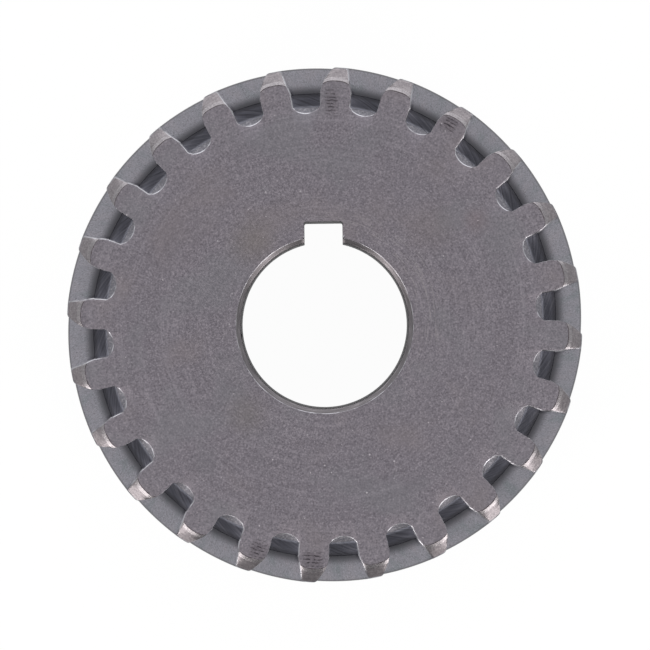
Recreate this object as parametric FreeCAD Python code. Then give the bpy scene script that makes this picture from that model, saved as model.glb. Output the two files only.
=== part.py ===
import FreeCAD, Part
import math
import os

# Helical gear that drives an oil pump: one piece of steel, turned, hobbed and finished on its flanks.
# Sizes are in millimetres and degrees.
# Frame: the back face lies on z = 0, the axis is +Z, and the keyway points to +Y.

# Toothing
TEETH = 24
NORMAL_MODULE = 2.25
HELIX_ANGLE = 30.0
NORMAL_PRESSURE_ANGLE = 15.0
ADDENDUM_FACTOR = 1.143
DEDENDUM_FACTOR = 1.19
TOOTH_THINNING = 0.14
FINISH_DEPTH_FACTOR = 0.37
ROOT_NARROWING = 0.45
FLANK_FACETS = 2
FIRST_TOOTH_FROM_KEYWAY = 3.4

# Blank
FACE_WIDTH = 44.0
END_BEVEL_WIDTH = 1.6
END_BEVEL_ANGLE = 30.0

# Bore and keyway
BORE_DIAMETER = 22.0
BORE_CHAMFER = 0.65
KEYWAY_WIDTH = 5.1
KEYWAY_DEPTH = 2.55
KEYWAY_CORNER_RADIUS = 0.25

# Bevel that breaks the root edge of each tooth space at both faces
ROOT_BREAK_WIDTH = 0.77
ROOT_BREAK_DEPTH = 0.55
ROOT_BREAK_LENGTH = 2.1
ROOT_BREAK_SIDE_GAP = 0.08

# How far the tools run past the steel that they cut
END_OVERRUN = 1.5
TIP_OVERRUN = 0.3
BREAK_OVERRUN = 0.15

# Two points closer than this are one
TOLERANCE = 0.0001

# Angle by which the faces of one pitch are told from those of its neighbours
PATTERN_MARGIN = 0.5

# Values worked out from the sizes above
helix = math.radians(HELIX_ANGLE)
pitch_radius = TEETH * NORMAL_MODULE / math.cos(helix) / 2
pressure = math.atan(math.tan(math.radians(NORMAL_PRESSURE_ANGLE)) / math.cos(helix))
base_radius = pitch_radius * math.cos(pressure)
tip_radius = pitch_radius + ADDENDUM_FACTOR * NORMAL_MODULE
root_radius = pitch_radius - DEDENDUM_FACTOR * NORMAL_MODULE
finish_radius = pitch_radius - FINISH_DEPTH_FACTOR * NORMAL_MODULE
tooth_thickness = (math.pi * NORMAL_MODULE / 2 - TOOTH_THINNING) / math.cos(helix)
turn_per_mm = math.degrees(math.tan(helix) / pitch_radius)
lead = 360 / turn_per_mm
bore_radius = BORE_DIAMETER / 2
tooth_pitch = 360 / TEETH
front_space_angle = 90 - FIRST_TOOTH_FROM_KEYWAY + tooth_pitch / 2
AXIS = FreeCAD.Vector(0, 0, 1)


def involute(angle):
    return math.tan(angle) - angle


def half_space(radius):
    """Half of the tooth space at a radius, as an angle in radians; it is radial under the base circle."""
    at_radius = math.acos(min(1.0, base_radius / radius))
    half_tooth = tooth_thickness / (2 * pitch_radius) + involute(pressure) - involute(at_radius)
    return math.pi / TEETH - half_tooth


root_half_width = root_radius * half_space(root_radius) - ROOT_NARROWING


def flank_point(radius):
    """A point of one flank of the tooth space that lies along +X."""
    angle = half_space(radius)
    return FreeCAD.Vector(radius * math.cos(angle), radius * math.sin(angle), 0)


def flank_points():
    """Points down the finished flank, from past the tip to the crease, one more than it has facets."""
    outer = tip_radius + TIP_OVERRUN
    step = (finish_radius - outer) / FLANK_FACETS
    return [flank_point(outer + step * index) for index in range(FLANK_FACETS + 1)]


def line(start, end):
    return Part.LineSegment(start, end).toShape()


def mirrored(point):
    return FreeCAD.Vector(point.x, -point.y, point.z)


def space_wire(side_points):
    """A closed section of a tooth space from the points of one side, closed outside the tips by an arc."""
    top = side_points[0]
    points = side_points + [mirrored(point) for point in reversed(side_points)]
    edges = [line(start, end) for start, end in zip(points, points[1:])]
    closing = Part.Arc(mirrored(top), FreeCAD.Vector(top.Length, 0, 0), top).toShape()
    return Part.Wire(edges + [closing])


def space_section():
    """The section of one tooth space across the axis, from past the tips to the root floor."""
    return space_wire(flank_points() + [FreeCAD.Vector(root_radius, root_half_width, 0)])


def helical_tool():
    """The hobbed tooth space: its section carried along the helix, past both faces of the blank."""
    spine = Part.makeHelix(lead, FACE_WIDTH + 2 * END_OVERRUN, pitch_radius)
    sweep = Part.BRepOffsetAPI.MakePipeShell(Part.Wire(spine.Edges))
    sweep.setFrenetMode(True)
    sweep.add(space_section(), False, False)
    sweep.build()
    sweep.makeSolid()
    tool = sweep.shape()
    tool.translate(-AXIS * END_OVERRUN)
    tool.rotate(FreeCAD.Vector(), AXIS, front_space_angle - turn_per_mm * (FACE_WIDTH + END_OVERRUN))
    return tool


def break_section(depth):
    """The section of the root bevel's tool at a depth under the front face, for a space along +X."""
    inset = ROOT_BREAK_WIDTH * (1 - depth / ROOT_BREAK_DEPTH)
    wide_half = root_half_width - ROOT_BREAK_SIDE_GAP
    side_slope = (wide_half - ROOT_BREAK_LENGTH / 2) / ROOT_BREAK_WIDTH
    outer = FreeCAD.Vector(root_radius + BREAK_OVERRUN, wide_half + BREAK_OVERRUN * side_slope, 0)
    inner = FreeCAD.Vector(root_radius - inset, wide_half - inset * side_slope, 0)
    wire = Part.makePolygon([outer, inner, mirrored(inner), mirrored(outer), outer])
    drift = -root_radius * math.radians(turn_per_mm) * depth
    wire.translate(FreeCAD.Vector(0, drift, -depth))
    return wire


def break_tool():
    """The tool of the root bevel, with the front face at z = 0 and the tooth space along +X."""
    return Part.makeLoft([break_section(ROOT_BREAK_DEPTH), break_section(-BREAK_OVERRUN)], True, True)


def space_tool():
    """All that is cut away at one tooth space."""
    front = break_tool()
    front.rotate(FreeCAD.Vector(), AXIS, front_space_angle)
    front.translate(AXIS * FACE_WIDTH)
    back = break_tool()
    back.rotate(FreeCAD.Vector(), FreeCAD.Vector(1, 0, 0), 180)
    back.rotate(FreeCAD.Vector(), AXIS, front_space_angle - turn_per_mm * FACE_WIDTH)
    return helical_tool().fuse([front, back])


def turned_blank():
    """The turned blank with its bore, bevelled at both ends."""
    bevel_height = END_BEVEL_WIDTH * math.tan(math.radians(END_BEVEL_ANGLE))
    half_width = FACE_WIDTH / 2
    bore_edge = FreeCAD.Vector(bore_radius, 0, half_width - BORE_CHAMFER)
    upper_points = [
        bore_edge,
        FreeCAD.Vector(bore_radius + BORE_CHAMFER, 0, half_width),
        FreeCAD.Vector(tip_radius - END_BEVEL_WIDTH, 0, half_width),
        FreeCAD.Vector(tip_radius, 0, half_width - bevel_height),
    ]
    lower_points = [FreeCAD.Vector(point.x, 0, -point.z) for point in reversed(upper_points)]
    profile = Part.Face(Part.makePolygon(upper_points + lower_points + [bore_edge]))
    blank = profile.revolve(FreeCAD.Vector(), AXIS, 360)
    blank.translate(AXIS * half_width)
    seam_angle = front_space_angle - turn_per_mm * half_width + 180
    blank.rotate(FreeCAD.Vector(), AXIS, seam_angle)
    return blank


def keyway_tool():
    """The broached keyway: a bar through the bore wall, with small corner radii at its floor."""
    length = FACE_WIDTH + 2 * END_OVERRUN
    floor = bore_radius + KEYWAY_DEPTH
    bar = Part.makeBox(KEYWAY_WIDTH, floor, length, FreeCAD.Vector(-KEYWAY_WIDTH / 2, 0, -END_OVERRUN))
    floor_corners = [
        edge for edge in bar.Edges
        if edge.BoundBox.YMin > floor - TOLERANCE and edge.BoundBox.ZLength > length - TOLERANCE
    ]
    return bar.makeFillet(KEYWAY_CORNER_RADIUS, floor_corners)


def angle_in_pattern(face):
    """The angle of a face's middle, counted from the first tooth space and along the helix."""
    middle = face.CenterOfMass
    space_angle = front_space_angle - turn_per_mm * (FACE_WIDTH - middle.z)
    angle = math.degrees(math.atan2(middle.y, middle.x)) - space_angle
    return (angle + 180) % 360 - 180


def one_pitch(blank):
    """The faces of one tooth space and of the tooth after it, from end to end."""
    space = space_tool()
    next_space = space.copy()
    next_space.rotate(FreeCAD.Vector(), AXIS, tooth_pitch)
    cut = blank.cut([space, next_space])
    just_past_next_tooth = tooth_pitch / 2 + PATTERN_MARGIN
    just_past_last_tooth = PATTERN_MARGIN - tooth_pitch / 2
    innermost = (bore_radius + root_radius) / 2
    return [
        face for face in cut.Faces
        if just_past_last_tooth < angle_in_pattern(face) < just_past_next_tooth
        and math.hypot(face.CenterOfMass.x, face.CenterOfMass.y) > innermost
    ]


def toothed_skin(blank):
    """The faces of every tooth and tooth space: one pitch, patterned about the axis."""
    pitch_faces = one_pitch(blank)
    skin = []
    for index in range(TEETH):
        for face in pitch_faces:
            turned = face.copy()
            turned.rotate(FreeCAD.Vector(), AXIS, index * tooth_pitch)
            skin.append(turned)
    return skin


def bore_faces(blank):
    """The walls of the bore, its chamfers and its keyway."""
    bored = blank.cut(keyway_tool())
    reach = bore_radius + KEYWAY_DEPTH + TOLERANCE
    return [
        face for face in bored.Faces
        if face.BoundBox.ZLength > TOLERANCE and max(face.BoundBox.XMax, face.BoundBox.YMax) < reach
    ]


def edges_at(faces, height):
    """The edges of some faces that lie in the plane at a height."""
    return [
        edge for face in faces for edge in face.Edges
        if edge.BoundBox.ZLength < TOLERANCE and abs(edge.BoundBox.ZMin - height) < TOLERANCE
    ]


def end_face(skin, bore, height):
    """One turned end face, bounded by the toothed edge outside and the bore and keyway inside."""
    outline = Part.Wire(Part.__sortEdges__(edges_at(skin, height)))
    opening = Part.Wire(Part.__sortEdges__(edges_at(bore, height)))
    return Part.makeFace([outline, opening], "Part::FaceMakerBullseye")


def gear():
    """The finished gear as one solid, closed from its toothed skin, its bore and its two end faces."""
    blank = turned_blank()
    skin = toothed_skin(blank)
    bore = bore_faces(blank)
    ends = [end_face(skin, bore, 0), end_face(skin, bore, FACE_WIDTH)]
    shell = Part.makeShell(skin + bore + ends)
    shell.sewShape()
    return Part.Solid(shell)


os.makedirs("parts", exist_ok=True)
oil_pump_gear = gear()
oil_pump_gear.exportStep("parts/oil_pump_gear.step")
print("valid", oil_pump_gear.isValid(), "solids", len(oil_pump_gear.Solids))
print("faces", len(oil_pump_gear.Faces), "volume", round(oil_pump_gear.Volume, 1))
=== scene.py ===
import bmesh
import bpy
import math
from mathutils import Matrix, Vector
from types import SimpleNamespace


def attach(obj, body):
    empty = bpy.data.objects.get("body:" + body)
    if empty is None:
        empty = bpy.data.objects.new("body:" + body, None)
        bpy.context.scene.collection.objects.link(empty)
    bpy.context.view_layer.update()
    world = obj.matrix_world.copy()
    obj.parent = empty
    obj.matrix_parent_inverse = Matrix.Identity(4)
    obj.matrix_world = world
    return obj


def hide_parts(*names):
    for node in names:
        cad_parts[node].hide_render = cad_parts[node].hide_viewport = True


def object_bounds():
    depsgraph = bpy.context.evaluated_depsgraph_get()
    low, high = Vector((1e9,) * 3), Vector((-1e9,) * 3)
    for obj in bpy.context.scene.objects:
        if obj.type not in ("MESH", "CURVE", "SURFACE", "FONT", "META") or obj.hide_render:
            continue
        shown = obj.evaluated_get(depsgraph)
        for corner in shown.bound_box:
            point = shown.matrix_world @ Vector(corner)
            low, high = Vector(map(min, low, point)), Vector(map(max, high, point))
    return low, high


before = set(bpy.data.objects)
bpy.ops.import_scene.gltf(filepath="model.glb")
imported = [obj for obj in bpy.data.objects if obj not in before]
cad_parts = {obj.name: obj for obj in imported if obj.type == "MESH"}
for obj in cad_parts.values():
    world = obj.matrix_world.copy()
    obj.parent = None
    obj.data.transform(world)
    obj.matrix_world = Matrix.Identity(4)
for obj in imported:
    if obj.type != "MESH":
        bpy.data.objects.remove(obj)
cad_box = [list(corner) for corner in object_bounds()]

# Toothed rim.
# The gear is one piece of steel. Its blank is turned, and 24 helical teeth are hobbed in it.
# One tooth with half a gap each side is drawn flat, copied round the axis, then twisted into the helix.
mm = 0.001
teeth = 24
normal_module = 2.25 * mm
helix = math.radians(30)
normal_pressure = math.radians(15)
dedendum_factor = 1.19
finish_depth_factor = 0.37
tooth_thinning = 0.14 * mm
first_tooth_from_keyway = math.radians(3.4)

# Forms too small for the solid: the undercut, the rounds, the broken edges with their lines painted bright as
# highlights, and the row painted dark as shade in the corner.
undercut = 0.08 * mm
root_fillet = 0.38 * mm
fillet_lifts = (67.5, 45, 22.5, 0)
tip_round = 0.45 * mm
edge_break = 0.11 * mm
line_width = 0.12 * mm
most_line_share = 0.5
root_line_fall = 0.1
flank_line_fall = 0.31
root_bevel_width = 0.8 * mm
root_bevel_depth = 0.55 * mm
root_bevel_half_angle = math.radians(2.8)
root_bevel_bow = 0.42 * mm
end_band_width = 0.43 * mm
end_bevel_width = 1.3 * mm
band_slope = math.tan(math.radians(15))
bevel_slope = math.tan(math.radians(30))
band_round = 0.4 * mm
bevel_round = 0.28 * mm
corner_shade_width = 0.12 * mm

tip_radius = cad_box[1][0]
width = cad_box[1][2]
pitch_radius = teeth * normal_module / math.cos(helix) / 2
pressure = math.atan(math.tan(normal_pressure) / math.cos(helix))
base_radius = pitch_radius * math.cos(pressure)
root_radius = pitch_radius - dedendum_factor * normal_module
finish_radius = pitch_radius - finish_depth_factor * normal_module
thickness = (math.pi * normal_module / 2 - tooth_thinning) / math.cos(helix)
twist = math.tan(helix) / pitch_radius * width
half_pitch = math.pi / teeth
first_tooth = math.pi / 2 - first_tooth_from_keyway
bevel_start = tip_radius - end_bevel_width
band_start = bevel_start - end_band_width

# Where the rows of the mesh lie, and how many columns it has.
join_radius = 20 * mm
hub_radius = 25 * mm
low_wall_row = root_radius + 1.0 * mm
row_under_crease = finish_radius - 0.03 * mm
row_over_crease = finish_radius + 0.04 * mm
high_flank_row = 32.75 * mm
bend_start = 31.0 * mm
bend_end = 33.2 * mm
tooth_columns = 12
gap_columns = 5
columns = tooth_columns + 2 * gap_columns
around = teeth * columns
wall_cuts = 28
hair = 0.001 * mm
weld_distance = 0.002 * mm
match_size = 0.01 * mm


def involute(angle):
    return math.tan(angle) - angle


def half_tooth(radius):
    """Half of a tooth's thickness at a radius, as an angle; it is radial under the base circle."""
    at_radius = math.acos(min(1, base_radius / radius))
    return thickness / pitch_radius / 2 + involute(pressure) - involute(at_radius)


def end_drop(radius):
    """How far a tooth's end lies under the turned face: nothing at first, then a band, then the bevel."""
    band = min(max(radius - band_start, 0), bevel_start - band_start)
    return band * band_slope + max(radius - bevel_start, 0) * bevel_slope


row_bends = [
    (bend_start, 0),
    (band_start - band_round - corner_shade_width, band_round),
    (band_start - band_round, band_round),
    (bevel_start - bevel_round, bevel_round),
    (bend_end, 0),
]
seam_radii = (band_start - band_round, bevel_start - bevel_round)


def bend(radius):
    """How far a row of the tooth's end stands out in its middle; the radius is where it meets the flanks."""
    for (low, low_bend), (high, high_bend) in zip(row_bends, row_bends[1:]):
        if low <= radius <= high:
            return low_bend + (high_bend - low_bend) * (radius - low) / (high - low)
    return 0


def spot(radius, angle, depth=0.0, share=1.0):
    """A point of the front end, with the tooth's middle at angle 0, at a depth under the end surface.

    The share says how far the point lies from the tooth's middle, 0, to one flank or the other, -1 or 1.
    """
    out = radius + bend(radius) * (1 - abs(share) ** 3)
    turn = angle + first_tooth - twist
    fall = end_drop(radius + bend(radius)) + depth
    return Vector((out * math.cos(turn), out * math.sin(turn), width - fall))


def arc_spot(centre_radius, centre_angle, round_radius, lift):
    """Radius and angle of a point on a small round, lift being its angle above the crosswise direction."""
    across = round_radius * math.cos(lift)
    out = centre_radius + round_radius * math.sin(lift)
    return math.hypot(out, across), centre_angle + math.atan2(across, out)


# The outline of a half tooth and half a gap, from the gap's middle up the flank to the tooth's middle.
# Each entry is (edge of the face, edge of the wall under it, depth of that wall edge), as radius and angle.
wall_radius = root_radius + root_fillet
wall_angle = half_tooth(base_radius) - undercut / wall_radius
fillet_angle = wall_angle + math.asin(root_fillet / wall_radius)
inner_radius = root_radius - root_bevel_width
floor_chain = []
for share in (0, 1 / 3, 2 / 3, 1):
    bow = root_bevel_bow * share ** 2
    face = (inner_radius + bow, half_pitch - root_bevel_half_angle * share)
    wall = (root_radius, half_pitch + (fillet_angle - half_pitch) * share)
    floor_chain.append((face, wall, root_bevel_depth * (1 - bow / root_bevel_width)))
side_chain = []
for degrees in fillet_lifts:
    lift = math.radians(degrees)
    wall = arc_spot(wall_radius, fillet_angle, -root_fillet, lift)
    face = arc_spot(wall_radius, fillet_angle, -root_fillet - edge_break, lift)
    side_chain.append((face, wall, edge_break))
for radius in (low_wall_row, row_under_crease):
    angle = half_tooth(max(radius, base_radius)) - undercut / radius
    side_chain.append(((radius, angle - edge_break / radius), (radius, angle), edge_break))
for radius in sorted([row_over_crease, high_flank_row] + [row[0] for row in row_bends]):
    slant = min(1, base_radius / radius)
    angle = half_tooth(radius)
    side_chain.append(((radius, angle - edge_break / radius / slant), (radius, angle), edge_break))
round_centre = tip_radius - tip_round
flank_tilt = math.acos(base_radius / (round_centre + tip_round / 2))
touch_radius = round_centre + tip_round * math.sin(flank_tilt)
round_angle = half_tooth(touch_radius) - tip_round * math.cos(flank_tilt) / round_centre
tip_lifts = [flank_tilt, (flank_tilt + math.pi / 4) / 2, math.pi / 4, 3 * math.pi / 8, math.pi / 2]
tip_chain = []
for lift in tip_lifts:
    wall = arc_spot(round_centre, round_angle, tip_round, lift)
    face = arc_spot(round_centre, round_angle, tip_round - edge_break, lift)
    tip_chain.append((face, wall, edge_break))
side_chain += tip_chain[:2]
top_chain = tip_chain[2:]
for share in (0.75, 0.5, 0.25, 0):
    angle = round_angle * share
    top_chain.append(((tip_radius - edge_break, angle), (tip_radius, angle), edge_break))


def both_sides(chain):
    """A chain of entries carried on over the tooth's middle to the other side."""
    mirrored = [((face[0], -face[1]), (wall[0], -wall[1]), depth) for face, wall, depth in chain]
    unique = [entry for entry in reversed(chain) if entry[0][1] > 0]
    return mirrored + unique


# The rows of the end face, from the join circle out over the tooth.
corner_count = gap_columns - len(floor_chain) + 1
gap_chain = floor_chain + side_chain[:corner_count]
climb_chain = side_chain[corner_count:]
shares = [2 * step / tooth_columns - 1 for step in range(tooth_columns + 1)]
tooth_rows = [
    [spot(face[0], face[1] * share, 0, share) for share in shares]
    for face, wall, depth in [gap_chain[-1]] + climb_chain
]
tooth_rows.append([spot(*face) for face, wall, depth in both_sides(top_chain)])
left_gap = [spot(face[0], -face[1]) for face, wall, depth in gap_chain[:-1]]
right_gap = [spot(*face) for face, wall, depth in reversed(gap_chain[:-1])]
hub_edge = left_gap + tooth_rows[0] + right_gap
hub_rows = [
    [spot(radius, half_pitch * (2 * step / columns - 1)) for step in range(columns + 1)]
    for radius in (join_radius, hub_radius)
]

# The edge round them: each spot of the face with its place on the bright line, and that with the wall's.
line_pairs = []
edge_pairs = []
for face, wall, depth in gap_chain + climb_chain + top_chain:
    reach = math.hypot(wall[0] - face[0], (wall[1] - face[1]) * wall[0])
    line_share = min(most_line_share, line_width / reach)
    line_radius = face[0] + (wall[0] - face[0]) * line_share
    line_angle = face[1] + (wall[1] - face[1]) * line_share
    line_fall = depth * (root_line_fall if depth > edge_break else flank_line_fall)
    for side in (-1, 1):
        line_spot = spot(line_radius, line_angle * side, line_fall)
        line_pairs.append((spot(face[0], face[1] * side), line_spot))
        edge_pairs.append((line_spot, spot(wall[0], wall[1] * side, depth)))


def place(pairs):
    """Moves each selected vertex from the first spot of its pair to the second."""
    mesh = bmesh.from_edit_mesh(bpy.context.object.data)
    for vertex in mesh.verts:
        if vertex.select:
            pair = min(pairs, key=lambda spots: (spots[0] - vertex.co).length)
            vertex.co = pair[1]
    bmesh.update_edit_mesh(bpy.context.object.data)


def select_edges(test):
    """Selects the edges that pass a test, and nothing else."""
    bpy.ops.mesh.select_all(action="DESELECT")
    mesh = bmesh.from_edit_mesh(bpy.context.object.data)
    for edge in mesh.edges:
        if test(edge):
            edge.select_set(True)
    bmesh.update_edit_mesh(bpy.context.object.data)


def rounded(point):
    """A point in whole steps of the match size, so that two equal points compare as equal."""
    return tuple(round(value / match_size) for value in point)


def lies_on(spots):
    """A test for edges with both ends on some spots."""
    keys = {rounded(point) for point in spots}
    return lambda edge: all(rounded(vertex.co) in keys for vertex in edge.verts)


# The turned face of one pitch is drawn from a strip, row by row, out to the tip.
bpy.ops.object.select_all(action="DESELECT")
bpy.ops.mesh.primitive_grid_add(x_subdivisions=columns, y_subdivisions=1, size=2)
gear = bpy.context.object
gear.name = "helical_gear"
bpy.ops.object.mode_set(mode="EDIT")
bpy.context.tool_settings.mesh_select_mode = (False, True, False)
bpy.ops.mesh.select_all(action="SELECT")
grid_spots = []
for side, row in zip((-1, 1), hub_rows):
    for step, target in enumerate(row):
        grid_spots.append((Vector((2 * step / columns - 1, side, 0)), target))
place(grid_spots)
select_edges(lies_on(hub_rows[1]))
bpy.ops.mesh.extrude_region_move()
place(list(zip(hub_rows[1], hub_edge)))
for row, next_row in zip(tooth_rows, tooth_rows[1:]):
    select_edges(lies_on(row))
    bpy.ops.mesh.extrude_region_move()
    place(list(zip(row, next_row)))
    if any(abs(next_row[0].xy.length - seam) < hair for seam in seam_radii):
        bpy.ops.mesh.mark_sharp()

# The edge of the face is drawn down into its small bevel in two steps, then the walls go to mid width.
for pairs in (line_pairs, edge_pairs):
    on_edge = lies_on([pair[0] for pair in pairs])
    select_edges(lambda edge: len(edge.link_faces) == 1 and on_edge(edge))
    bpy.ops.mesh.extrude_region_move()
    place(pairs)
on_wall = lies_on([pair[1] for pair in edge_pairs])
select_edges(lambda edge: len(edge.link_faces) == 1 and on_wall(edge))
bpy.ops.mesh.extrude_region_move()
bpy.ops.transform.resize(value=(1, 1, 0), center_override=(0, 0, width / 2))
select_edges(lambda edge: abs(edge.verts[0].co.z - edge.verts[1].co.z) > width / 4)
bpy.ops.mesh.subdivide(number_cuts=wall_cuts)

# The back half mirrors the front half, and the pitch is copied round the axis and twisted.
bpy.ops.mesh.select_all(action="SELECT")
bpy.ops.mesh.duplicate()
bpy.ops.transform.resize(value=(1, 1, -1), center_override=(0, 0, width / 2))
bpy.ops.mesh.select_all(action="SELECT")
bpy.ops.mesh.spin(
    steps=teeth - 1, dupli=True, angle=2 * math.pi * (teeth - 1) / teeth, center=(0, 0, 0), axis=(0, 0, 1)
)
bpy.ops.mesh.select_all(action="SELECT")
bpy.ops.mesh.remove_doubles(threshold=weld_distance)
bpy.ops.object.mode_set(mode="OBJECT")
helix_twist = gear.modifiers.new("helix", "SIMPLE_DEFORM")
helix_twist.deform_method = "TWIST"
helix_twist.deform_axis = "Z"
helix_twist.angle = twist
bpy.ops.object.modifier_apply(modifier=helix_twist.name)

# Bore and keyway.
# The bore is reamed and chamfered at both ends, then the keyway is broached straight through it.
# Its rings are drawn from a circle and joined to the toothed rim across the turned faces.
bore_radius = 11 * mm
chamfer_radius = 11.65 * mm
chamfer_depth = 0.65 * mm
chamfer_lip = (11.585 * mm, 0.03 * mm)
chamfer_foot = (11.04 * mm, 0.4 * mm)
corner_break = (0.2 * mm, 0.3 * mm)
corner_fall = 0.2 * mm
beside_corner = 0.4
burr_angle = math.radians(186.6)
burr_reach = math.radians(1.1)
burr_height = 0.13 * mm
keyway_half = 2.55 * mm
keyway_floor = 13.55 * mm
keyway_corner = 0.25 * mm
slot_side_steps = 6
slot_corner_steps = 3
slot_floor_steps = 9
slot_line = math.radians(91.2)
ring_slack = 0.004 * mm
smooth_angle = math.radians(30)


def bore_outline(radius, depth):
    """The outline of the bore and its keyway, counter-clockwise, at a radius and a depth under the front.

    At both turned faces the corners between bore and keyway are broken, and at the front they sink too.
    """
    mouth = math.sqrt(radius ** 2 - keyway_half ** 2)
    broken = corner_break if depth in (0, width) else (0, 0)
    corner_y = keyway_floor - keyway_corner
    corner_x = keyway_half - keyway_corner
    right = [(keyway_half + broken[0], mouth + broken[1])]
    for step in range(1, slot_side_steps):
        right.append((keyway_half, mouth + (corner_y - mouth) * step / slot_side_steps))
    for step in range(slot_corner_steps + 1):
        turn = math.pi / 2 * step / slot_corner_steps
        right.append((corner_x + keyway_corner * math.cos(turn), corner_y + keyway_corner * math.sin(turn)))
    for step in range(slot_floor_steps - 1, -1, -1):
        right.append((corner_x * step / slot_floor_steps, keyway_floor))
    slot = right + [(-x, y) for x, y in reversed(right[:-1])]
    mouth_angle = math.asin(keyway_half / radius)
    start = math.pi / 2 + mouth_angle
    span = 2 * math.pi - 2 * mouth_angle
    count = around - len(slot)
    arc = []
    for step in range(1, count + 1):
        turn = start + span * step / (count + 1)
        burr = burr_height if depth == chamfer_depth and abs(turn - burr_angle) < burr_reach else 0
        arc.append(((radius - burr) * math.cos(turn), (radius - burr) * math.sin(turn)))
    outline = [Vector((x, y, width - depth)) for x, y in slot + arc]
    if depth == chamfer_lip[1]:
        for corner in (0, len(slot) - 1):
            for offset, share in ((0, 1), (-1, beside_corner), (1, beside_corner)):
                outline[corner + offset].z -= corner_fall * share
    return outline


def join_circle(depth):
    """The circle on a turned face where the bore's rings meet the rim, at a depth under the front face."""
    start = first_tooth - half_pitch - twist * depth / width
    circle = []
    for step in range(around):
        turn = start + 2 * math.pi * step / around
        circle.append(Vector((join_radius * math.cos(turn), join_radius * math.sin(turn), width - depth)))
    return circle


def turn_from_slot(point):
    """The angle of a point from a line through the keyway's floor."""
    return (math.atan2(point.y, point.x) - slot_line) % (2 * math.pi)


def place_in_order(spots):
    """Puts the selected vertices on the spots, each in its order round the axis."""
    mesh = bmesh.from_edit_mesh(bpy.context.object.data)
    chosen = [vertex for vertex in mesh.verts if vertex.select]
    chosen.sort(key=lambda vertex: turn_from_slot(vertex.co))
    for vertex, target in zip(chosen, sorted(spots, key=turn_from_slot)):
        vertex.co = target
    bmesh.update_edit_mesh(bpy.context.object.data)


def on_ring(radius, depth):
    """A test for edges that lie in a ring round the bore, at a depth under either face."""
    def on_it(vertex):
        at_radius = abs(vertex.co.xy.length - radius) < ring_slack
        return at_radius and abs(min(vertex.co.z, width - vertex.co.z) - depth) < hair
    return lambda edge: all(on_it(vertex) for vertex in edge.verts)


bpy.ops.object.select_all(action="DESELECT")
bpy.ops.mesh.primitive_circle_add(vertices=around, radius=join_radius, location=(0, 0, 0))
bore = bpy.context.object
bpy.ops.object.mode_set(mode="EDIT")
bpy.ops.mesh.select_all(action="SELECT")
place_in_order(join_circle(0))
front_rings = [(chamfer_radius, 0), chamfer_lip, chamfer_foot, (bore_radius, chamfer_depth)]
back_rings = [(radius, width - depth) for radius, depth in reversed(front_rings)]
for radius, depth in front_rings + [(bore_radius, width / 2)] + back_rings:
    bpy.ops.mesh.extrude_region_move()
    place_in_order(bore_outline(radius, depth))
bpy.ops.mesh.extrude_region_move()
place_in_order(join_circle(width))
bpy.ops.object.mode_set(mode="OBJECT")
bpy.context.view_layer.objects.active = gear
gear.select_set(True)
bore.select_set(True)
bpy.ops.object.join()

# The seams of the cones at the tooth ends and at the bore stay crisp, and all that is round is shaded smooth.
bpy.ops.object.mode_set(mode="EDIT")
bpy.ops.mesh.select_all(action="SELECT")
bpy.ops.mesh.remove_doubles(threshold=weld_distance)
bpy.ops.mesh.normals_make_consistent(inside=False)
for ring in front_rings[:3]:
    select_edges(on_ring(*ring))
    bpy.ops.mesh.mark_sharp()
bpy.ops.object.mode_set(mode="OBJECT")
bpy.ops.object.shade_smooth_by_angle(angle=smooth_angle, keep_sharp_edges=True)

# Finishes of the steel.
# It is bare machined steel with a thin oil film: turned ends, hobbed gaps, shaved flanks, a reamed bore.
# Each finish has its own tool marks, and the front face has stains, rubbed spots and chatter from handling.


def finish(name, colour, roughness):
    """A bare steel finish, with what is even all over set on its shader."""
    material = bpy.data.materials.new(name)
    material.use_nodes = True
    shader = material.node_tree.nodes["Principled BSDF"]
    shader.inputs["Base Color"].default_value = (*colour, 1)
    shader.inputs["Metallic"].default_value = 1
    shader.inputs["Roughness"].default_value = roughness
    return material


def add_node(material, kind, settings=(), **inputs):
    """Adds a node, with its settings as pairs and each input as a number, a colour or another node's output.

    The inputs are named by their place on the node: i0 is the first.
    """
    tree = material.node_tree
    node = tree.nodes.new("ShaderNode" + kind)
    for key, value in settings:
        setattr(node, key, value)
    for key, value in inputs.items():
        socket = node.inputs[int(key[1:])]
        if isinstance(value, bpy.types.NodeSocket):
            tree.links.new(value, socket)
        else:
            socket.default_value = value
    return node


def arithmetic(material, operation, first, second=0.0):
    """The result of one sum of two numbers."""
    return add_node(material, "Math", [("operation", operation)], i0=first, i1=second).outputs[0]


def vector_sum(material, operation, first, second):
    """The result of one sum of two vectors."""
    return add_node(material, "VectorMath", [("operation", operation)], i0=first, i1=second).outputs[0]


def length_of(material, vector):
    """The length of a vector."""
    return add_node(material, "VectorMath", [("operation", "LENGTH")], i0=vector).outputs["Value"]


def places(material):
    """A point of the gear in millimetres: its place, radius, direction from the axis and height."""
    metres = add_node(material, "TexCoord").outputs["Object"]
    place_mm = vector_sum(material, "MULTIPLY", metres, (1000, 1000, 1000))
    flat = vector_sum(material, "MULTIPLY", place_mm, (1, 1, 0))
    return SimpleNamespace(
        place=place_mm,
        radius=length_of(material, flat),
        direction=add_node(material, "VectorMath", [("operation", "NORMALIZE")], i0=flat).outputs["Vector"],
        height=add_node(material, "SeparateXYZ", i0=place_mm).outputs["Z"],
    )


def from_to(material, value, low, high, low_share=0.0, high_share=1.0):
    """A share that climbs softly from one value to another."""
    settings = [("interpolation_type", "SMOOTHSTEP")]
    node = add_node(material, "MapRange", settings, i0=value, i1=low, i2=high, i3=low_share, i4=high_share)
    return node.outputs[0]


def grain(material, vector, scale, detail=2.0):
    """Uneven patches, from 0 to 1, so many to the millimetre."""
    return add_node(material, "TexNoise", i0=vector, i2=scale, i3=detail).outputs[0]


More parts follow.
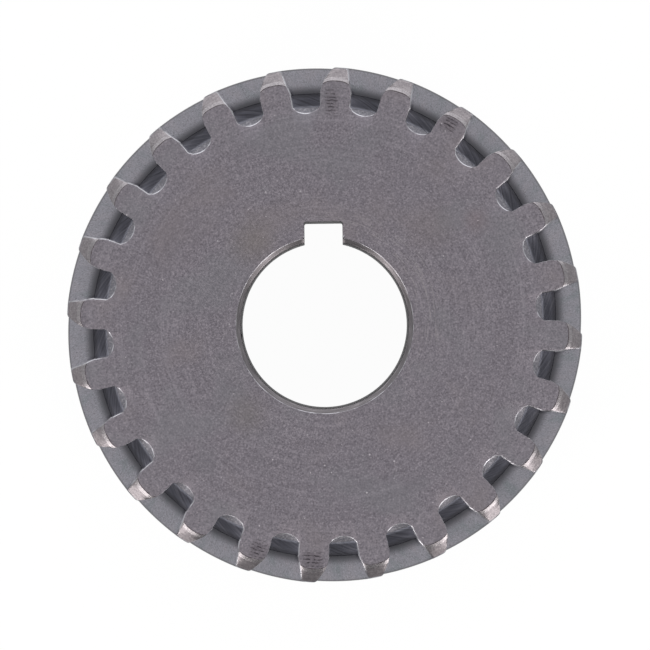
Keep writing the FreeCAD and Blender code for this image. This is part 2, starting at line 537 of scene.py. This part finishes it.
def along_rings(material, direction, value, sweep, pitch):
    """A pattern place that changes slowly round the axis and fast across its rings."""
    around_part = vector_sum(material, "MULTIPLY", direction, (sweep, sweep, 0))
    across_part = add_node(material, "CombineXYZ", i2=arithmetic(material, "DIVIDE", value, pitch)).outputs[0]
    return vector_sum(material, "ADD", around_part, across_part)


def lay_over(material, share, colour):
    """Lays a colour over the finish's own, as much as a share from 0 to 1 says."""
    tree = material.node_tree
    base = tree.nodes["Principled BSDF"].inputs["Base Color"]
    under = base.links[0].from_socket if base.is_linked else tuple(base.default_value)
    mix = add_node(material, "Mix", [("data_type", "RGBA")], i0=share, i6=under, i7=(*colour, 1))
    tree.links.new(mix.outputs[2], base)


def tint(material, pattern, start, full, strength, colour):
    """Lays a colour over the finish where a pattern goes from one value to another, up to a strength."""
    lay_over(material, from_to(material, pattern, start, full, 0, strength), colour)


def roughen(material, height, depth):
    """Gives the surface a relief of a depth in metres."""
    shader = material.node_tree.nodes["Principled BSDF"]
    bump = add_node(material, "Bump", i0=1.0, i1=depth)
    material.node_tree.links.new(height, bump.inputs["Height"])
    material.node_tree.links.new(bump.outputs[0], shader.inputs["Normal"])


def uneven_gloss(material, value, low, high):
    """Lets the roughness vary between two values."""
    shader = material.node_tree.nodes["Principled BSDF"]
    material.node_tree.links.new(from_to(material, value, 0.3, 0.7, low, high), shader.inputs["Roughness"])


def at_clock(radius, clock):
    """A place on the front face in millimetres, by its radius and its angle clockwise from the keyway."""
    turn = math.radians(90 - clock)
    return radius * math.cos(turn), radius * math.sin(turn)


def toward_clock(material, direction, clock):
    """How near a direction from the axis is to one of the clock: 1 along it, less to either side."""
    heading = (*at_clock(1, clock), 0)
    settings = [("operation", "DOT_PRODUCT")]
    return add_node(material, "VectorMath", settings, i0=direction, i1=heading).outputs["Value"]


def round_spot(material, place_mm, centre, reach, strength):
    """The share of a soft round spot on the front face."""
    offset = vector_sum(material, "SUBTRACT", place_mm, (*centre, width / mm))
    return from_to(material, length_of(material, offset), 0, reach, strength, 0)


# Turned face.
turned_face = finish("turned_face", (0.142, 0.131, 0.150), 0.45)
at = places(turned_face)
tint(turned_face, at.radius, 24, 31, 0.4, (0.166, 0.154, 0.173))
fine_rings = grain(turned_face, along_rings(turned_face, at.direction, at.radius, 1.5, 0.35), 1.0, 3.0)
tint(turned_face, fine_rings, 0.5, 0.85, 0.45, (0.23, 0.215, 0.24))
tint(turned_face, fine_rings, 0.5, 0.2, 0.4, (0.11, 0.101, 0.116))
speckle = grain(turned_face, at.place, 4.6, 4.0)
tint(turned_face, speckle, 0.48, 0.76, 0.68, (0.247, 0.229, 0.254))
tint(turned_face, speckle, 0.5, 0.22, 0.68, (0.076, 0.069, 0.080))
clouds = grain(turned_face, at.place, 0.11, 3.0)
tint(turned_face, clouds, 0.5, 0.75, 0.4, (0.166, 0.146, 0.153))
tint(turned_face, clouds, 0.48, 0.3, 0.35, (0.143, 0.145, 0.158))

# Brighter arcs in the turning rings near the bore, strongest at the upper right.
arcs_clock = 52
arcs = grain(turned_face, along_rings(turned_face, at.direction, at.radius, 5.0, 0.17), 1.0, 1.0)
past_chamfer = from_to(turned_face, at.radius, 11.6, 13.0)
within_hub = from_to(turned_face, at.radius, 17.0, 14.0)
near_bore = arithmetic(turned_face, "MULTIPLY", past_chamfer, within_hub)
toward_arcs = toward_clock(turned_face, at.direction, arcs_clock)
to_upper_right = from_to(turned_face, toward_arcs, 0.2, 0.95, 0.08, 0.5)
arc_sweep = arithmetic(turned_face, "MULTIPLY", near_bore, to_upper_right)
arc_share = arithmetic(turned_face, "MULTIPLY", from_to(turned_face, arcs, 0.5, 0.7), arc_sweep)
lay_over(turned_face, arc_share, (0.23, 0.215, 0.225))

# Faint stains, as radius, clock angle, reach, strength and colour.
for stain_radius, stain_clock, reach, strength, colour in (
    (14.4, 320, 4.5, 0.45, (0.140, 0.125, 0.115)),
    (18.8, 48, 5.0, 0.3, (0.150, 0.130, 0.130)),
    (24.0, 56, 2.6, 0.3, (0.160, 0.125, 0.130)),
    (15.5, 222, 4.0, 0.35, (0.130, 0.120, 0.112)),
    (23.7, 222, 3.2, 0.3, (0.120, 0.120, 0.132)),
    (23.0, 300, 6.0, 0.25, (0.135, 0.122, 0.135)),
):
    centre = at_clock(stain_radius, stain_clock)
    lay_over(turned_face, round_spot(turned_face, at.place, centre, reach, strength), colour)

# Dark chatter marks across four teeth, where a chuck or a mating part has rubbed them.
stroke_pitch = 0.44
stroke_wobble = 5.0
smudge_share = 0.35
smudge_colour = (0.06, 0.05, 0.058)
stroke_colour = (0.025, 0.022, 0.026)
wobble = arithmetic(turned_face, "MULTIPLY", grain(turned_face, at.place, 1.4, 1.0), stroke_wobble)
wave = arithmetic(turned_face, "MULTIPLY", at.radius, 2 * math.pi / stroke_pitch)
wave = arithmetic(turned_face, "SINE", arithmetic(turned_face, "ADD", wave, wobble))
broken_up = from_to(turned_face, grain(turned_face, at.place, 2.6, 1.0), 0.36, 0.6)
strokes = arithmetic(turned_face, "MULTIPLY", from_to(turned_face, wave, 0.1, 0.9), broken_up)

# The marks fade out under the front face, so that the back has none.
fade_low = width / mm - 4
fade_high = width / mm - 1
at_front = from_to(turned_face, at.height, fade_low, fade_high)

# Each mark: radius, clock angle, reach along the tooth, sweep to each side in degrees, and strength.
for mark_radius, mark_clock, reach, sweep, strength in (
    (29.3, 2.5, 2.4, 2.2, 0.85),
    (31.0, 32.5, 1.4, 2.6, 0.85),
    (30.7, 197.2, 1.7, 2.6, 0.9),
    (30.8, 183.6, 1.6, 3.2, 1.0),
):
    away = arithmetic(turned_face, "ABSOLUTE", arithmetic(turned_face, "SUBTRACT", at.radius, mark_radius))
    toward_mark = toward_clock(turned_face, at.direction, mark_clock)
    beside = from_to(turned_face, toward_mark, math.cos(math.radians(sweep)), 1)
    along = from_to(turned_face, away, reach, reach * 0.3, 0, strength)
    smudge = arithmetic(turned_face, "MULTIPLY", along, beside)
    smudge = arithmetic(turned_face, "MULTIPLY", smudge, at_front)
    lay_over(turned_face, arithmetic(turned_face, "MULTIPLY", smudge, smudge_share), smudge_colour)
    lay_over(turned_face, arithmetic(turned_face, "MULTIPLY", smudge, strokes), stroke_colour)

# Bright specks where the film is nicked through. The offset keeps them clear of the speckle's own pattern.
speck_offset = (40, 20, 0)
specks = grain(turned_face, vector_sum(turned_face, "ADD", at.place, speck_offset), 2.2, 0.0)
tint(turned_face, specks, 0.82, 0.88, 0.6, (0.4, 0.38, 0.4))
uneven_gloss(turned_face, speckle, 0.38, 0.55)
roughen(turned_face, arithmetic(turned_face, "ADD", fine_rings, speckle), 0.006 * mm)

# Painted shade: a dark line where the turned face meets the band.
corner_shade = finish("painted_corner_shade", (0.062, 0.053, 0.058), 0.5)
film = grain(corner_shade, places(corner_shade).place, 1.5, 2.0)
tint(corner_shade, film, 0.42, 0.62, 0.8, (0.125, 0.115, 0.13))
roughen(corner_shade, film, 0.006 * mm)

# Turned bevel of the tooth ends, and a lighter, glossier copy of it for the narrow band inside it.
end_bevel = finish("end_bevel", (0.185, 0.172, 0.182), 0.38)
lighter_band = finish("lighter_band", (0.21, 0.20, 0.21), 0.27)
for material in (end_bevel, lighter_band):
    at = places(material)
    tool_lines = grain(material, along_rings(material, at.direction, at.radius, 12.0, 0.22), 1.0, 2.0)
    tint(material, tool_lines, 0.5, 0.8, 0.4, (0.30, 0.28, 0.29))
    tint(material, tool_lines, 0.5, 0.2, 0.5, (0.12, 0.11, 0.12))
    pitted = grain(material, at.place, 4.5, 3.0)
    tint(material, pitted, 0.5, 0.75, 0.6, (0.30, 0.28, 0.29))
    tint(material, pitted, 0.5, 0.25, 0.6, (0.11, 0.10, 0.108))
    roughen(material, arithmetic(material, "ADD", tool_lines, pitted), 0.006 * mm)

# Broken edges: the rough bevel at each gap's root, and the thin line along every edge of the face, its steel
# painted bright as a highlight.
root_bevel = finish("root_bevel", (0.155, 0.153, 0.172), 0.55)
filed = grain(root_bevel, places(root_bevel).place, 4.0, 2.0)
tint(root_bevel, filed, 0.5, 0.75, 0.7, (0.28, 0.275, 0.30))
tint(root_bevel, filed, 0.5, 0.25, 0.8, (0.10, 0.10, 0.115))
roughen(root_bevel, filed, 0.02 * mm)

root_line = finish("root_line_painted_highlight", (0.36, 0.36, 0.39), 0.36)
flank_line = finish("flank_line_painted_highlight", (0.33, 0.33, 0.355), 0.34)
for material in (root_line, flank_line):
    at = places(material)
    wear = grain(material, at.place, 0.7, 2.0)
    tint(material, wear, 0.42, 0.62, 1.0, (0.155, 0.15, 0.165))
    roughen(material, grain(material, at.place, 5.0), 0.01 * mm)

# Shaved flank, painted darker towards the crease where the shaving tool ran out, as shade in the deep gap,
# and darker at its rounded outer edge.
flank_steel = finish("shaved_flank", (0.222, 0.218, 0.247), 0.4)
at = places(flank_steel)
flank_clouds = grain(flank_steel, at.place, 0.35, 3.0)
tint(flank_steel, flank_clouds, 0.5, 0.72, 0.8, (0.165, 0.182, 0.198))
tint(flank_steel, flank_clouds, 0.5, 0.28, 0.8, (0.25, 0.235, 0.262))
flank_grain = grain(flank_steel, at.place, 4.5)
tint(flank_steel, flank_grain, 0.5, 0.75, 0.8, (0.34, 0.33, 0.37))
tint(flank_steel, flank_grain, 0.5, 0.25, 0.8, (0.10, 0.098, 0.112))
tint(flank_steel, at.radius, 31.75, 30.4, 0.95, (0.05, 0.049, 0.06))
tint(flank_steel, at.radius, 33.45, 33.66, 0.7, (0.05, 0.05, 0.056))
uneven_gloss(flank_steel, flank_grain, 0.34, 0.46)
roughen(flank_steel, flank_grain, 0.004 * mm)

# Hobbed root, dark and oxidised. The hob's feed marks slant down it, by this much for each millimetre.
feed_slant = 0.235
hobbed_root = finish("hobbed_root", (0.204, 0.206, 0.249), 0.5)
at = places(hobbed_root)
slant = arithmetic(hobbed_root, "MULTIPLY", at.height, feed_slant)
slanted = arithmetic(hobbed_root, "SUBTRACT", at.radius, slant)
feed_marks = grain(hobbed_root, along_rings(hobbed_root, at.direction, slanted, 6.0, 0.22), 1.0, 2.0)
tint(hobbed_root, feed_marks, 0.5, 0.75, 0.7, (0.35, 0.345, 0.39))
tint(hobbed_root, feed_marks, 0.5, 0.25, 0.75, (0.09, 0.088, 0.105))
# Painted shade: the root darkens towards the crease at its top.
tint(hobbed_root, at.radius, 29.7, 30.2, 0.7, (0.06, 0.058, 0.07))
roughen(hobbed_root, feed_marks, 0.014 * mm)

# Turned outside of the teeth.
tip_land = finish("turned_tip", (0.205, 0.195, 0.21), 0.42)
at = places(tip_land)
tip_rings = grain(tip_land, along_rings(tip_land, at.direction, at.height, 2.0, 0.25), 1.0, 2.0)
tint(tip_land, tip_rings, 0.5, 0.8, 0.6, (0.32, 0.30, 0.32))
tint(tip_land, tip_rings, 0.5, 0.2, 0.6, (0.13, 0.122, 0.135))
roughen(tip_land, tip_rings, 0.008 * mm)

# Bore chamfer, reamed bore and broached keyway.
bore_chamfer = finish("bore_chamfer", (0.14, 0.132, 0.14), 0.4)
at = places(bore_chamfer)
chamfer_rings = grain(bore_chamfer, along_rings(bore_chamfer, at.direction, at.radius, 5.0, 0.16), 1.0, 2.0)
tint(bore_chamfer, chamfer_rings, 0.5, 0.75, 0.7, (0.27, 0.255, 0.27))
tint(bore_chamfer, chamfer_rings, 0.5, 0.25, 0.7, (0.075, 0.07, 0.076))
roughen(bore_chamfer, chamfer_rings, 0.008 * mm)

# The bore and keyway walls are coloured dark as painted shade inside the bore.
bore_wall = finish("reamed_bore_painted_shade", (0.08, 0.076, 0.082), 0.62)
at = places(bore_wall)
reamer_rings = grain(bore_wall, along_rings(bore_wall, at.direction, at.height, 3.0, 0.4), 1.0, 2.0)
broach_lines = grain(bore_wall, vector_sum(bore_wall, "MULTIPLY", at.place, (6, 6, 0.1)), 1.0, 1.0)
tint(bore_wall, reamer_rings, 0.5, 0.8, 0.5, (0.13, 0.125, 0.135))
tint(bore_wall, broach_lines, 0.5, 0.2, 0.5, (0.04, 0.038, 0.043))
roughen(bore_wall, reamer_rings, 0.006 * mm)

finishes = [
    turned_face, corner_shade, end_bevel, lighter_band, root_bevel, root_line,
    flank_line, flank_steel, hobbed_root, tip_land, bore_chamfer, bore_wall,
]
for material in finishes:
    gear.data.materials.append(material)

# How flat a face lies: 1 for the turned face, 0 for a wall. Each value is the least for its kind of face.
flat_face = 0.999
flat_band = 0.93
flat_cone = 0.6
flat_chamfer = 0.5
flat_edge = 0.3
edge_reach = 1.8 * edge_break
tip_land_depth = 0.08 * mm


def hub_finish(lean, depth):
    """The finish of a face of the bore or of the turned face round it.

    The lip of the chamfer and the broken corners of the keyway take the edge line's finish, painted bright as
    a highlight.
    """
    if lean > flat_face:
        return turned_face
    if lean > flat_chamfer:
        return flank_line if depth < corner_fall else bore_chamfer
    return bore_wall


def finish_of(centre, normal):
    """The finish of a face, by its place and by how far it leans."""
    radius = math.hypot(centre.x, centre.y)
    depth = min(centre.z, width - centre.z)
    lean = abs(normal.z)
    if radius < join_radius:
        return hub_finish(lean, depth)
    if radius < root_radius and lean > flat_cone:
        if lean > flat_face:
            return turned_face
        return root_bevel if depth > root_bevel_depth * root_line_fall else root_line
    turn = math.atan2(centre.y, centre.x) - first_tooth + twist * (1 - centre.z / width)
    turn = abs((turn + half_pitch) % (2 * half_pitch) - half_pitch)
    flank_turn = half_tooth(max(radius, base_radius))
    at_edge = (flank_turn - turn) * radius < edge_reach or radius > tip_radius - edge_break
    if at_edge and flat_edge < lean < flat_face and depth < end_drop(radius + bend(radius)) + edge_break:
        return flank_line
    ring = radius + band_round * min(1, turn / flank_turn) ** 3
    if lean > flat_face:
        # Faces of the turned face beside the band get the painted corner shade.
        return corner_shade if ring > band_start - corner_shade_width else turned_face
    if lean > flat_cone:
        return lighter_band if lean > flat_band else end_bevel
    if radius > tip_radius - tip_land_depth:
        return tip_land
    return flank_steel if radius > finish_radius else hobbed_root


for face in gear.data.polygons:
    face.material_index = finishes.index(finish_of(face.center, face.normal))

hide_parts("oil_pump_gear")
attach(gear, "root")

# Floor.
# A plain pale table under the gear. To the camera it is white, with only the gear's soft shadow on it.
# It lies a hair under the gear's back face, so that the two surfaces don't flicker through each other.
floor_size = 4
floor_gap = 0.02 * mm
floor_colour = (0.85, 0.85, 0.85)
glow_share = 0.97
bpy.ops.object.select_all(action="DESELECT")
bpy.ops.mesh.primitive_plane_add(size=floor_size, location=(0, 0, -floor_gap))
floor = bpy.context.object
floor.name = "floor"
floor_paint = bpy.data.materials.new("pale_floor")
floor_paint.use_nodes = True
nodes = floor_paint.node_tree.nodes
paint = nodes["Principled BSDF"]
paint.inputs["Base Color"].default_value = (*floor_colour, 1)
paint.inputs["Roughness"].default_value = 0.9
glow = add_node(floor_paint, "Emission")
path = add_node(floor_paint, "LightPath")
seen = arithmetic(floor_paint, "MAXIMUM", path.outputs["Is Camera Ray"], path.outputs["Is Glossy Ray"])
seen = arithmetic(floor_paint, "MAXIMUM", seen, path.outputs["Is Transmission Ray"])
white_share = arithmetic(floor_paint, "MULTIPLY", seen, glow_share)
painted = add_node(floor_paint, "MixShader", i0=white_share, i1=paint.outputs[0], i2=glow.outputs[0])
floor_paint.node_tree.links.new(painted.outputs[0], nodes["Material Output"].inputs["Surface"])
floor.data.materials.append(floor_paint)

# Lamps and surroundings.
# A pale studio, a little brighter towards the top of the picture and darker towards its bottom.
# Two tall soft boxes stand at the lower left and lower right, and a broad weak one hangs at the top.
darkest = 0.38
lamp_reach = 0.9
warm_white = (1.0, 0.95, 0.92)
cool_white = (1.0, 0.98, 0.99)
studio = bpy.data.worlds.new("studio")
bpy.context.scene.world = studio
studio.use_nodes = True
surround = studio.node_tree.nodes["Background"]
toward = add_node(studio, "TexCoord").outputs["Generated"]
upward = add_node(studio, "SeparateXYZ", i0=toward).outputs["Y"]
level = from_to(studio, upward, -0.55, 0.08, darkest, 1.0)
greys = add_node(studio, "CombineColor", i0=level, i1=level, i2=level)
studio.node_tree.links.new(greys.outputs[0], surround.inputs["Color"])
surround.inputs["Strength"].default_value = 1.0


def toward_lamp(clock_angle, tilt):
    """A direction from the gear, by its angle clockwise from the keyway and its tilt from the axis."""
    turn = math.radians(90 - clock_angle)
    lean = math.radians(tilt)
    return Vector((math.sin(lean) * math.cos(turn), math.sin(lean) * math.sin(turn), math.cos(lean)))


# Each lamp: name, high and low end as clock angle and tilt, width, height, power and colour.
for name, high_end, low_end, wide, tall, power, colour in (
    ("lower_right_box", (133, 24), (139, 74), 0.24, 0.8, 3.8, warm_white),
    ("lower_left_box", (223, 24), (229, 74), 0.24, 0.8, 3.8, warm_white),
    ("top_panel", (3, 24), (3, 62), 1.3, 0.65, 3.7, cool_white),
):
    high = toward_lamp(*high_end)
    low = toward_lamp(*low_end)
    direction = (high + low).normalized()
    along = (low - high).normalized()
    across = along.cross(direction)
    bpy.ops.object.light_add(type="AREA", location=direction * lamp_reach)
    lamp = bpy.context.object
    lamp.name = name
    lamp.data.shape = "RECTANGLE"
    lamp.data.size = wide
    lamp.data.size_y = tall
    lamp.data.energy = power
    lamp.data.color = colour
    lamp.rotation_euler = Matrix((across, direction.cross(across), direction)).transposed().to_euler()

# Camera.
# A long lens looks straight down on the front face, as in the photograph.
picture_width = 85.06 * mm
distance = 1769 * mm
sensor = 36
roll = math.radians(-0.75)
centre_shift = Vector((0.041 * mm, -0.015 * mm))
bpy.ops.object.camera_add(location=(centre_shift.x, centre_shift.y, width + distance))
camera = bpy.context.object
camera.data.sensor_width = sensor
camera.data.lens = sensor * distance / picture_width
camera.data.clip_start = 0.1
camera.rotation_euler = (0, 0, roll)
bpy.context.scene.camera = camera
bpy.context.scene.view_settings.view_transform = "Standard"
